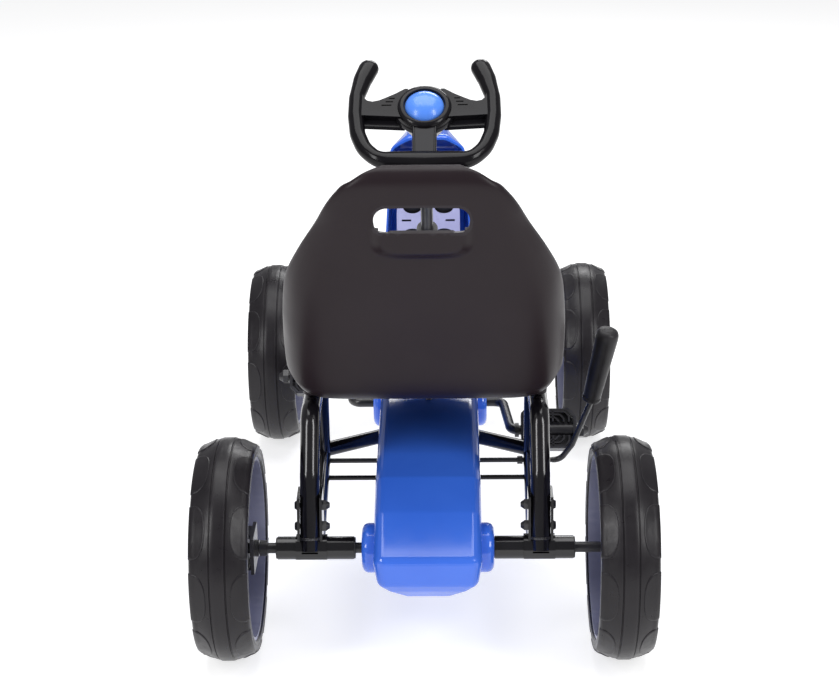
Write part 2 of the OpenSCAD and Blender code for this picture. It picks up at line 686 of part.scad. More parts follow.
// pedal on a pin along X through the origin, lying flat
module pedal_flat() difference() {
    union() {
        translate([pedal_x0, 0, 0]) along_x() cylinder(r = 8.5, h = pedal_w);
        difference() {
            translate([pedal_x0, -pedal_l / 2, -9]) cube([pedal_w, pedal_l, 18]);
            for (s = [-1, 1]) {
                translate([pedal_x0 + pedal_w, s * pedal_l / 2, 0]) rotate([0, 0, 45])
                    cube([16, 16, 30], center = true);
                translate([pedal_x0, s * pedal_l / 2, 0]) rotate([0, 0, 45])
                    cube([10, 10, 30], center = true);
                translate([pedal_x0 + 5, s > 0 ? 12 : -22, 2]) cube([pedal_w - 14, 10, 20]);
                translate([pedal_x0 + 5, s > 0 ? 12 : -22, -22])
                    cube([pedal_w - 14, 10, 20]);
            }
        }
        for (s = [-1, 1]) for (i = [1 : 6]) translate([pedal_x0 + 4 + i * 8, s > 0 ? 10 : -23, 1])
            cube([2.4, 13, 8]);
    }
    translate([pedal_x0 - 1, 0, 0]) along_x() cylinder(r = crank_d / 2 + run, h = pedal_w + 2);
}
module pedal_right() color("#202024") from_rear_axle()
    translate([0, crank_y - throw_r, crank_z]) rotate([90 - pedal_lean, 0, 0]) pedal_flat();
module pedal_left() color("#202024") from_rear_axle() left()
    translate([0, crank_y + throw_r, crank_z]) rotate([90 - pedal_lean, 0, 0]) pedal_flat();

// ---- steering ----

module steering_column() color("#1b1b1f") from_rear_axle() difference() {
    union() {
        on_column(foot_s - 6) cylinder(d = column_d, h = foot_s - 6 - 14);
        difference() {
            union() {
                on_column(pitman_s + 2) translate([-11, -arm_l, 0])
                    cube([22, arm_l, 4]);
                on_column(pitman_s + 2) translate([0, -arm_l, 0]) cylinder(r = 14, h = 4);
            }
            // long hole that the track rod's pin moves in
            on_column(pitman_s + 2) for (y = [-4, 4]) translate([0, y - arm_l, -1])
                cylinder(r = 6, h = 6);
            on_column(pitman_s + 2) translate([-6, -4 - arm_l, -1]) cube([12, 8, 6]);
        }
    }
}

wheel_path = [[-69, 66, 0], [-82, 30, 0], [-83, -10, 0], [-78, -50, 0], [-56, -79, 0],
    [56, -79, 0], [78, -50, 0], [83, -10, 0], [82, 30, 0], [69, 66, 0]];
module steering_wheel() color("#141417") from_rear_axle() at_hub() difference() {
    union() {
        bent_bar(wheel_path, rim_bar_d, 32);
        for (s = [-1, 1]) translate([s * 69, 66, 0]) sphere(d = rim_bar_d + swell);
        cylinder(r = 33, h = 9);
        translate([0, 0, 0]) linear_extrude(5) {
            for (s = [-1, 1]) polygon([[s * 20, 26], [s * 54, 10], [s * 83, 10],
                [s * 83, -12], [s * 20, -16]]);
            polygon([[-14.5, -10], [14.5, -10], [14.5, -80], [-14.5, -80]]);
        }
    }
    translate([0, 0, 3]) cylinder(r = 24.3, h = 10);
    translate([0, 0, -1]) cylinder(r = 6, h = 10);
    for (s = [-1, 1]) translate([s * 60, 1, -1]) cube([30, 4, 20], center = true);
}
module steering_wheel_back() color("#141417") from_rear_axle() at_hub() difference() {
    union() {
        translate([0, 0, -30]) cylinder(r1 = 15, r2 = 33, h = 30);
        translate([0, 0, -4]) linear_extrude(4) {
            for (s = [-1, 1]) polygon([[s * 20, 20], [s * 71, 9], [s * 71, -12],
                [s * 20, -16]]);
            polygon([[-14.5, -10], [14.5, -10], [14.5, -68], [-14.5, -68]]);
        }
    }
    translate([0, 0, -40]) cylinder(d = column_d, h = 26);
    for (s = [-1, 1]) translate([s * 50, 1, -10]) cylinder(r = 2, h = 20);
}
module steering_screws() color("#8d9098") from_rear_axle() at_hub() for (s = [-1, 1])
    translate([s * 50, 1, 0]) {
        translate([0, 0, -4]) cylinder(r = 2, h = 4);
        translate([0, 0, -6]) cylinder(r = 3.6, h = 2);
    }
module horn_button() color("#3a7be8") from_rear_axle() at_hub() intersection() {
    translate([0, 0, -16]) sphere(r = 34);
    translate([0, 0, 8]) cylinder(r = 24, h = 20);
}

module knuckle() difference() {
    union() {
        translate([kingpin_x, wheelbase, 99]) cylinder(r = 10.5, h = 52);
        translate([kingpin_x, wheelbase, tyre_r]) along_x()
            cylinder(r = axle_r, h = front_x + 21 - kingpin_x);
        translate([kingpin_x, wheelbase, tyre_r]) along_x() cylinder(r = 9.5, h = 27);
        translate([kingpin_x, track_y, arm_z]) cylinder(r = 10, h = arm_t);
        translate([kingpin_x - 8, track_y, arm_z]) cube([16, arm_l, arm_t]);
    }
    translate([kingpin_x, wheelbase, 90]) cylinder(r = 5 + run, h = 70);
    translate([kingpin_x, track_y, arm_z - 1]) cylinder(r = 4.3, h = arm_t + 2);
}
module knuckle_left() color("#1b1b1f") from_rear_axle() left() knuckle();
module knuckle_right() color("#1b1b1f") from_rear_axle() knuckle();
module stub_nut() translate([front_x + 17.5, wheelbase, tyre_r]) along_x()
    dome_nut(axle_r, 18);
module stub_nut_left() color("#8d9098") from_rear_axle() left() stub_nut();
module stub_nut_right() color("#8d9098") from_rear_axle() stub_nut();

module track_rod() color("#1b1b1f") from_rear_axle() {
    translate([-kingpin_x, track_y, track_z]) along_x() cylinder(r = 5, h = 2 * kingpin_x);
    for (x = [-kingpin_x, kingpin_x]) translate([x, track_y, track_z - 6]) {
        cylinder(r = 8, h = 14);
        cylinder(r = 4, h = 25);
    }
    translate([0, track_y, track_z]) cylinder(r = 4, h = 32);
}

// ---- brake ----

lever_path = [[-124, brake_at.x, brake_at.y], [162, brake_at.x, brake_at.y],
    [176, 186, 166], [196, 169, 232]];
grip_a = lever_path[3];
grip_dir = unit([16, -19, 92]);
module brake_lever() color("#1b1b1f") from_rear_axle() {
    bent_bar([lever_path[0], lever_path[1]], rod_d, 12, -6);
    bent_bar([lever_path[1] - [10, 0, 0], lever_path[1], lever_path[2],
        grip_a - grip_dir * 4, grip_a + grip_dir * 40], lever_d, 14);
    // collar beside the right rail and the finger that works the shoe
    translate([110, brake_at.x, brake_at.y]) along_x() cylinder(r = 5, h = 6.5);
    side_view(-38, -32) polygon([[brake_at.x - 4, brake_at.y + 4],
        [brake_at.x + 4, brake_at.y + 4], [brake_at.x + 4, brake_at.y - 4],
        [brake_at.x - 18, brake_at.y - 3], [brake_at.x - 18, brake_at.y + 3]]);
}
module brake_grip() color("#202024") from_rear_axle() difference() {
    v = grip_dir;
    translate(grip_a) rotate([0, acos(v.z), atan2(v.y, v.x)]) {
        cylinder(r1 = 11, r2 = 13.5, h = grip_l - 6);
        translate([0, 0, grip_l - 6]) cylinder(r1 = 13.5, r2 = 9, h = 6);
    }
    bar(grip_a - grip_dir, grip_a + grip_dir * 40, lever_d);
}
// shoe that swings on the fixed rod and bears on the drum
module brake_shoe() color("#5a5b60") from_rear_axle() difference() {
    union() {
        translate([-40, fixed_at.x, fixed_at.y]) along_x() cylinder(r = 7, h = 12);
        side_view(-38, -32) polygon([[26, 153], [30, 163], [fixed_at.x, 146],
            [fixed_at.x, 134]]);
        difference() {
            translate([-43, 0, tyre_r]) along_x() ring(40, 34.5, 18);
            side_view(-60, 0) polygon([[-60, 60], [-60, 190], [16, 190], [16, 128],
                [60, 128], [60, 60]]);
        }
    }
    translate([-60, fixed_at.x, fixed_at.y]) along_x()
        cylinder(r = rod_d / 2 + run, h = 60);
}

rear_sleeve_left();
rear_sleeve_right();
side_rail_left();
side_rail_right();
cross_tube();
spine_tube();
front_beam();
column_post();
seat_hoop_left();
seat_hoop_right();
seat_bracket_left();
seat_bracket_right();
frame_bolts();
frame_nuts();
seat();
seat_screws();
guard_upper();
guard_lower();
guard_screws();
fairing();
bumper();
chain();
axle_bushes();
crank_bushes();
column_bushes();
fixed_rod();
kingpins();
rear_axle_shaft();
axle_sprocket();
brake_drum();
drive_carrier();
axle_collar();
axle_nuts();
rear_rim_left();
rear_rim_right();
rear_tyre_left();
rear_tyre_right();
crank_rod();
chainring();
pedal_caps();
pedal_left();
pedal_right();
steering_column();
steering_wheel();
steering_wheel_back();
steering_screws();
horn_button();
knuckle_left();
knuckle_right();
stub_nut_left();
stub_nut_right();
track_rod();
front_rim_left();
front_rim_right();
front_tyre_left();
front_tyre_right();
brake_lever();
brake_grip();
brake_shoe();
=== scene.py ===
import json
import math
import random

import bmesh
import bpy
from mathutils import Matrix, Vector


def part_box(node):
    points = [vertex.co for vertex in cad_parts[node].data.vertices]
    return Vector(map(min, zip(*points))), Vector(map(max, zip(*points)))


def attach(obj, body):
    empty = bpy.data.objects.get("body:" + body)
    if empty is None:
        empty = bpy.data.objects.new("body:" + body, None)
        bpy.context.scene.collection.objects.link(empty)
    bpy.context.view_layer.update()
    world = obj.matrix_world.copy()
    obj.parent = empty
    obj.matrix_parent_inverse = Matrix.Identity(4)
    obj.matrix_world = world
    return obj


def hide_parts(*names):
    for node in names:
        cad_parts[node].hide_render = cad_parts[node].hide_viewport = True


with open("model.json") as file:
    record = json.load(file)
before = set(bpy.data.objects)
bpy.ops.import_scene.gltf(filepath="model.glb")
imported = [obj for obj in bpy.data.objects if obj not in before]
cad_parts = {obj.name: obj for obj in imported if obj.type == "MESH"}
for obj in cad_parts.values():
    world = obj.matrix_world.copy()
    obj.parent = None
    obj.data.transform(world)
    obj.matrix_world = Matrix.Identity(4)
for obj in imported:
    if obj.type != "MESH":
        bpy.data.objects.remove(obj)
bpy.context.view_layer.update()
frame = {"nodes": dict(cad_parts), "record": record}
nodes = frame["nodes"]
scene = bpy.context.scene

TAU = 2 * math.pi
axle_low, axle_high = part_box("rear_axle_shaft")
AXLE = (axle_low + axle_high) / 2  # middle of the rear axle


def at(x, y, z):
    """Point in metres from millimetres: across, ahead of the rear axle, above the ground."""
    return Vector((x / 1000, AXLE.y + y / 1000, z / 1000))


def rad(degrees):
    return math.radians(degrees)


# ---------------------------------------------------------------- camera

LENS = 77.21
CAMERA_AT = (0.0275, -2.1288, 1.0741)
PITCH, YAW, ROLL = rad(21.536), rad(1.0016), rad(0.7037)


def make_camera():
    forward = Vector((-math.sin(YAW) * math.cos(PITCH), math.cos(YAW) * math.cos(PITCH),
                      -math.sin(PITCH)))
    right = Vector((math.cos(YAW), math.sin(YAW), 0))
    up = Vector((-math.sin(YAW) * math.sin(PITCH), math.cos(YAW) * math.sin(PITCH),
                 math.cos(PITCH)))
    rolled_right = right * math.cos(ROLL) - up * math.sin(ROLL)
    rolled_up = up * math.cos(ROLL) + right * math.sin(ROLL)
    turn = Matrix((rolled_right, rolled_up, -forward)).transposed()
    data = bpy.data.cameras.new("camera")
    data.lens = LENS
    data.sensor_fit = "HORIZONTAL"
    data.sensor_width = 36.0
    data.clip_end = 50.0
    camera = bpy.data.objects.new("camera", data)
    camera.matrix_world = Matrix.Translation(CAMERA_AT) @ turn.to_4x4()
    scene.collection.objects.link(camera)
    scene.camera = camera


# ---------------------------------------------------------------- materials

def material(name, colour, other, rough, mottle=12.0, grain=600.0, bump=0.15,
             depth=0.0002, coat=0.0, coat_rough=0.08, metal=0.0, stretch=(1, 1, 1),
             edge=None, specular=0.5, waves=None):
    """Colour, roughness and fine relief that vary over the surface, in object space; edge
    paints a lighter highlight onto convex edges.
    """
    mat = bpy.data.materials.new(name)
    mat.use_nodes = True
    tree = mat.node_tree
    new, link = tree.nodes.new, tree.links.new
    shader = tree.nodes["Principled BSDF"]
    shader.inputs["Metallic"].default_value = metal
    shader.inputs["Coat Weight"].default_value = coat
    shader.inputs["Coat Roughness"].default_value = coat_rough
    shader.inputs["Specular IOR Level"].default_value = specular
    coord = new("ShaderNodeTexCoord")
    mapping = new("ShaderNodeMapping")
    mapping.inputs["Scale"].default_value = stretch
    link(coord.outputs["Object"], mapping.inputs["Vector"])

    def noise(scale, detail, source=mapping):
        tex = new("ShaderNodeTexNoise")
        tex.inputs["Scale"].default_value = scale
        tex.inputs["Detail"].default_value = detail
        link(source.outputs[0 if source is mapping else "Object"], tex.inputs["Vector"])
        return tex.outputs["Fac"]

    def spread(value, low, high, to_low, to_high):
        node = new("ShaderNodeMapRange")
        for key, number in (("From Min", low), ("From Max", high), ("To Min", to_low),
                            ("To Max", to_high)):
            node.inputs[key].default_value = number
        link(value, node.inputs["Value"])
        return node.outputs["Result"]

    def mix(factor, first, second):
        node = new("ShaderNodeMix")
        node.data_type = "RGBA"
        link(factor, node.inputs["Factor"])
        for key, value in (("A", first), ("B", second)):
            entry = [s for s in node.inputs if s.name == key and s.type == "RGBA"][0]
            if isinstance(value, tuple):
                entry.default_value = (*value, 1)
            else:
                link(value, entry)
        return [s for s in node.outputs if s.type == "RGBA"][0]

    blotch = noise(mottle, 5.0)
    tint = mix(spread(blotch, 0.35, 0.65, 0.0, 1.0), colour, other)
    # painted highlight: convex edges, found by pointiness, are mixed halfway towards the
    # lighter edge colour
    if edge:
        point = new("ShaderNodeNewGeometry").outputs["Pointiness"]
        tint = mix(spread(point, 0.52, 0.60, 0.0, 0.5), tint, edge)
    link(tint, shader.inputs["Base Color"])
    smear = noise(mottle * 3.7, 3.0)
    link(spread(smear, 0.3, 0.7, rough[0], rough[1]), shader.inputs["Roughness"])
    relief = noise(grain, 2.0, coord)
    bumps = new("ShaderNodeBump")
    bumps.inputs["Strength"].default_value = bump
    bumps.inputs["Distance"].default_value = depth
    link(relief, bumps.inputs["Height"])
    normal = bumps.outputs["Normal"]
    if waves:
        broad = new("ShaderNodeBump")
        broad.inputs["Strength"].default_value = waves[1]
        broad.inputs["Distance"].default_value = 0.001
        link(noise(waves[0], 1.0, coord), broad.inputs["Height"])
        link(normal, broad.inputs["Normal"])
        normal = broad.outputs["Normal"]
    link(normal, shader.inputs["Normal"])
    return mat


PAINT = material("gloss_black_paint", (0.0040, 0.0036, 0.0050), (0.0065, 0.0060, 0.0080),
                 (0.13, 0.20), mottle=20, grain=420, bump=0.05, coat=0.3, waves=(60, 0.03),
                 specular=0.4)
STEEL = material("black_steel", (0.010, 0.010, 0.012), (0.019, 0.018, 0.021),
                 (0.30, 0.42), mottle=40, grain=900, bump=0.12, coat=0.15)
ZINC = material("zinc_steel", (0.36, 0.36, 0.39), (0.48, 0.48, 0.50),
                (0.22, 0.38), mottle=90, grain=1500, bump=0.1, metal=1.0)
CHAIN = material("chain_steel", (0.07, 0.068, 0.066), (0.13, 0.12, 0.11),
                 (0.28, 0.45), mottle=70, grain=1300, bump=0.2, metal=0.9)
BUSH = material("bush_plastic", (0.014, 0.014, 0.016), (0.024, 0.024, 0.026),
                (0.40, 0.52), mottle=60, grain=1100)
# seat: the edge colour is a painted slate highlight along the shell's rolled edges
SEAT = material("seat_plastic", (0.0150, 0.0094, 0.0118), (0.0185, 0.0120, 0.0150),
                (0.34, 0.42), mottle=5, grain=1500, bump=0.16, depth=0.0002,
                edge=(0.034, 0.030, 0.036), specular=0.20)
BLUE = material("gloss_blue_plastic", (0.036, 0.140, 0.71), (0.044, 0.160, 0.76),
                (0.10, 0.17), mottle=9, grain=300, bump=0.03, coat=0.35,
                waves=(26, 0.05))
# tyre: the edge colour is a painted highlight on the pads' rims and other edges
TYRE = material("tyre_foam", (0.0115, 0.0100, 0.0120), (0.0160, 0.0140, 0.0165),
                (0.27, 0.38), mottle=26, grain=1250, bump=0.22, depth=0.00025,
                edge=(0.034, 0.032, 0.038), specular=0.26)
# rim: the edge colour is a painted lavender highlight on its ribs and edges
RIM = material("rim_plastic", (0.185, 0.190, 0.285), (0.235, 0.240, 0.340),
               (0.30, 0.42), mottle=16, grain=900, bump=0.12,
               edge=(0.40, 0.41, 0.50))
# pedal: the edge colour is a painted highlight on its ribs and edges
PEDAL = material("pedal_plastic", (0.014, 0.0135, 0.016), (0.022, 0.021, 0.024),
                 (0.28, 0.40), mottle=50, grain=1200, edge=(0.05, 0.05, 0.06),
                 specular=0.3)
# wheel plastic: the edge colour is a painted grey highlight on its edges
WHEEL = material("wheel_plastic", (0.0050, 0.0044, 0.0056), (0.0066, 0.0058, 0.0072),
                 (0.15, 0.20), mottle=30, grain=700, bump=0.02, specular=0.20,
                 edge=(0.02, 0.02, 0.025))
HORN = material("horn_plastic", (0.085, 0.255, 0.87), (0.095, 0.275, 0.90),
                (0.22, 0.28), mottle=20, grain=500, bump=0.02, coat=0.1)
# grip: the edge colour is a painted highlight on its edges
GRIP = material("grip_plastic", (0.0120, 0.0110, 0.0125), (0.0185, 0.0170, 0.0190),
                (0.34, 0.46), mottle=40, grain=1400, bump=0.25, depth=0.0003,
                edge=(0.04, 0.038, 0.045), specular=0.26)
# painted reflection: the panel's pale lavender stands in for light reflected off the blue
# plastic
PANEL_PAINTED_REFLECTION = material("panel_painted_reflection", (0.42, 0.43, 0.72), (0.50, 0.51, 0.80),
                 (0.26, 0.36), mottle=20, grain=700, bump=0.08)
WELD = material("weld_bead", (0.012, 0.012, 0.015), (0.030, 0.029, 0.034),
                (0.22, 0.34), mottle=160, grain=600, bump=0.5, depth=0.0005, coat=0.2)

BY_SLOT = {"frame_paint": PAINT, "black_steel": STEEL, "zinc_steel": ZINC,
           "chain_steel": CHAIN, "bush_plastic": BUSH, "seat_plastic": SEAT,
           "blue_plastic": BLUE, "tyre": TYRE, "rim_plastic": RIM,
           "pedal_plastic": PEDAL, "wheel_plastic": WHEEL, "horn_plastic": HORN,
           "grip_plastic": GRIP}


# ---------------------------------------------------------------- mesh helpers

def smooth_to(bm, degrees):
    for face in bm.faces:
        face.smooth = True
    limit = rad(degrees)
    for line in bm.edges:
        line.smooth = len(line.link_faces) == 2 and line.calc_face_angle(0) < limit


def piece(name, shells, mat, body, replaced=(), bevel=0.0, angle=35, segments=2):
    """Object of one or more shells, each (points, faces), riding on a body."""
    bm = bmesh.new()
    for points, faces in shells:
        corners = [bm.verts.new(p) for p in points]
        for face in faces:
            bm.faces.new([corners[i] for i in face])
    bmesh.ops.recalc_face_normals(bm, faces=bm.faces)
    smooth_to(bm, angle)
    mesh = bpy.data.meshes.new(name)
    bm.to_mesh(mesh)
    bm.free()
    obj = bpy.data.objects.new(name, mesh)
    scene.collection.objects.link(obj)
    mesh.materials.append(mat)
    if bevel:
        soften(obj, bevel, angle, segments)
    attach(obj, body)
    if replaced:
        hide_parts(*replaced)
    return obj


def soften(obj, width, angle=35, segments=2):
    """Rounded edges, narrower than the parts' smallest walls."""
    round_off = obj.modifiers.new("round", "BEVEL")
    round_off.width = width / 1000
    round_off.segments = segments
    round_off.limit_method = "ANGLE"
    round_off.angle_limit = rad(angle)
    round_off.harden_normals = False
    even = obj.modifiers.new("normals", "WEIGHTED_NORMAL")
    even.keep_sharp = True


def loft(rings, capped=True, looped=False):
    """Skin over rings of equally many points."""
    n = len(rings[0])
    points = [p for ring in rings for p in ring]
    count = len(rings)
    faces = []
    for i in range(count if looped else count - 1):
        a, b = i * n, (i + 1) % count * n
        faces += [(a + j, a + (j + 1) % n, b + (j + 1) % n, b + j) for j in range(n)]
    if capped and not looped:
        faces.append(tuple(range(n)))
        faces.append(tuple(range((count - 1) * n, count * n)))
    return points, faces


def rounded(points, radius, step=10):
    """Polyline with its corners turned into arcs."""
    points = [Vector(p) for p in points]
    out = [points[0]]
    for before, corner, after in zip(points, points[1:], points[2:]):
        a, b = (before - corner).normalized(), (after - corner).normalized()
        half = a.angle(b) / 2
        reach = min(radius / math.tan(half), (before - corner).length / 2,
                    (after - corner).length / 2)
        start, end = corner + a * reach, corner + b * reach
        for i in range(step + 1):
            t = i / step
            out.append(start * (1 - t) ** 2 + corner * 2 * t * (1 - t) + end * t ** 2)
    out.append(points[-1])
    return out


def sweep(path, width, height=None, count=20, up=(0, 0, 1), round_ends=True):
    """Bar along a path; width and height are half sizes, numbers or functions of 0 to 1."""
    width = width if callable(width) else (lambda t, w=width: w)
    if height is None:
        height = width
    height = height if callable(height) else (lambda t, h=height: h)
    path = [Vector(p) for p in path]
    lengths = [0.0]
    for a, b in zip(path, path[1:]):
        lengths.append(lengths[-1] + (b - a).length)
    total = lengths[-1]
    rings = []
    side = None

    def ring(centre, across, rise, w, h):
        return [centre + across * (w * math.cos(TAU * k / count))
                + rise * (h * math.sin(TAU * k / count)) for k in range(count)]

    for i, point in enumerate(path):
        ahead = (path[min(i + 1, len(path) - 1)] - path[max(i - 1, 0)]).normalized()
        if side is None:
            side = ahead.cross(Vector(up)).normalized()
        side = (side - ahead * side.dot(ahead)).normalized()
        rise = side.cross(ahead)
        w, h = width(lengths[i] / total), height(lengths[i] / total)
        if round_ends and i == 0:
            for a in (80, 60, 40, 20):
                rings.append(ring(point - ahead * (w * math.sin(rad(a))), side, rise,
                                  w * math.cos(rad(a)), h * math.cos(rad(a))))
        rings.append(ring(point, side, rise, w, h))
        if round_ends and i == len(path) - 1:
            for a in (20, 40, 60, 80):
                rings.append(ring(point + ahead * (w * math.sin(rad(a))), side, rise,
                                  w * math.cos(rad(a)), h * math.cos(rad(a))))
    return loft(rings)


def lathe(profile, centre, axis, count=96, closed=True):
    """Turned shape: profile is (radius, distance along the axis), a loop if closed."""
    axis = Vector(axis).normalized()
    side = axis.orthogonal().normalized()
    other = axis.cross(side)
    rings = []
    for k in range(count):
        out = side * math.cos(TAU * k / count) + other * math.sin(TAU * k / count)
        rings.append([centre + out * (r / 1000) + axis * (h / 1000) for r, h in profile])
    n = len(profile)
    points = [p for ring in rings for p in ring]
    faces = []
    for i in range(count):
        a, b = i * n, (i + 1) % count * n
        for j in range(n if closed else n - 1):
            faces.append((a + j, a + (j + 1) % n, b + (j + 1) % n, b + j))
    if not closed:
        for j in (0, n - 1):
            faces.append(tuple(i * n + j for i in range(count)))
    return points, faces


def prism(outline, low, high, place):
    """Outline of (a, b) points between two levels; place(a, b, level) gives the point."""
    bottom = [place(a, b, low) for a, b in outline]
    top = [place(a, b, high) for a, b in outline]
    n = len(outline)
    faces = [tuple(range(n)), tuple(range(n, 2 * n))]
    faces += [(j, (j + 1) % n, n + (j + 1) % n, n + j) for j in range(n)]
    return bottom + top, faces


def block(a, b, place=at):
    """Box between two corners."""
    (x0, y0, z0), (x1, y1, z1) = a, b
    return prism([(x0, y0), (x1, y0), (x1, y1), (x0, y1)], z0, z1, place)


def cut(obj, shells):
    """Takes closed shells away from a new piece."""
    bm = bmesh.new()
    for points, faces in shells:
        corners = [bm.verts.new(p) for p in points]
        for face in faces:
            bm.faces.new([corners[i] for i in face])
    bmesh.ops.recalc_face_normals(bm, faces=bm.faces)
    mesh = bpy.data.meshes.new("cutter")
    bm.to_mesh(mesh)
    bm.free()
    tool = bpy.data.objects.new("cutter", mesh)
    scene.collection.objects.link(tool)
    change = obj.modifiers.new("cut", "BOOLEAN")
    change.operation = "DIFFERENCE"
    change.solver = "EXACT"
    change.object = tool
    while obj.modifiers[0] != change:
        bpy.context.view_layer.objects.active = obj
        obj.modifiers.move(obj.modifiers.find("cut"), 0)
    shown = [m for m in obj.modifiers if m != change]
    for m in shown:
        m.show_viewport = False
    graph = bpy.context.evaluated_depsgraph_get()
    result = bpy.data.meshes.new_from_object(obj.evaluated_get(graph))
    obj.modifiers.remove(change)
    for m in shown:
        m.show_viewport = True
    old = obj.data
    obj.data = result
    bpy.data.meshes.remove(old)
    bpy.data.objects.remove(tool)
    bm = bmesh.new()
    bm.from_mesh(obj.data)
    smooth_to(bm, 35)
    bm.to_mesh(obj.data)
    bm.free()


# ---------------------------------------------------------------- seat

# along the shell from its front lip to its top, as the frame's seat:
# ahead of the axle, height, half width, how far the sides turn in
STATIONS = (
    (302, 253, 98, 0), (300, 265, 104, 3), (286, 272, 110, 6), (240, 273, 117, 12),
    (190, 272, 134, 22), (140, 271, 144, 30), (100, 271, 150, 36), (72, 276, 153, 40),
    (55, 287, 155, 42), (47, 303, 156, 42), (37, 340, 157, 41), (23, 385, 155, 38),
    (10, 425, 149, 33), (-2, 462, 133, 26), (-14, 500, 112, 18), (-22, 524, 100, 13),
    (-28, 543, 88, 9), (-30, 555, 79, 7), (-28, 564, 68, 4), (-23, 570.5, 56, 2),
    (-15, 573.5, 40, 0))
SEAT_T = 4.0


def catmull(values, s):
    """Smooth curve through equal-length tuples, at a place between 0 and the last."""
    i = min(int(s), len(values) - 2)
    t = s - i
    p0, p1 = values[max(i - 1, 0)], values[i]
    p2, p3 = values[i + 1], values[min(i + 2, len(values) - 1)]
    return tuple(0.5 * (2 * b + (c - a) * t + (2 * a - 5 * b + 4 * c - d) * t * t
                        + (3 * b - a - 3 * c + d) * t ** 3)
                 for a, b, c, d in zip(p0, p1, p2, p3))


def hole_outline():
    """Hand hole in the seat's back, (across, height), with a bowed lower edge."""
    half = []
    half += [(x, 530.0 - 0.0006 * x * x) for x in range(0, 36, 3)]
    half += [(36 + 14 * math.sin(rad(a)), 515.5 + 14 * math.cos(rad(a)))
             for a in range(4, 90, 8)]
    half += [(50.2 - 0.3 * k, 514.0 - 2.0 * k) for k in range(0, 3)]
    half += [(41.5 + 8 * math.cos(rad(a)), 509.0 - 6.0 * math.sin(rad(a)))
             for a in range(6, 90, 10)]
    half += [(x, 501.6 + 0.0008 * x * x) for x in range(39, -1, -3)]
    return half + [(-x, z) for x, z in reversed(half[1:-1])]


def smoothstep(low, high, value):
    t = min(max((value - low) / (high - low), 0.0), 1.0)
    return t * t * (3 - 2 * t)


def grip_bulge(x, z):
    """How far the roll under the hand hole stands out behind the shell."""
    reach = ((x / 57) ** 4 + (max(499 - z, 0) / 31) ** 4) ** 0.25
    return 7.5 * (1 - smoothstep(0.72, 1.0, reach)) * (1 - smoothstep(504, 518, z))


def closest(outline, x, z):
    best = None
    for (ax, az), (bx, bz) in zip(outline, outline[1:] + outline[:1]):
        dx, dz = bx - ax, bz - az
        length = dx * dx + dz * dz
        t = min(max(((x - ax) * dx + (z - az) * dz) / length, 0), 1) if length else 0
        px, pz = ax + t * dx, az + t * dz
        gap = (px - x) ** 2 + (pz - z) ** 2
        if best is None or gap < best[0]:
            best = (gap, px, pz)
    return math.sqrt(best[0]), best[1], best[2]


def inside(outline, x, z):
    hit = False
    for (ax, az), (bx, bz) in zip(outline, outline[1:] + outline[:1]):
        if (az > z) != (bz > z) and x < (bx - ax) * (z - az) / (bz - az) + ax:
            hit = not hit
    return hit


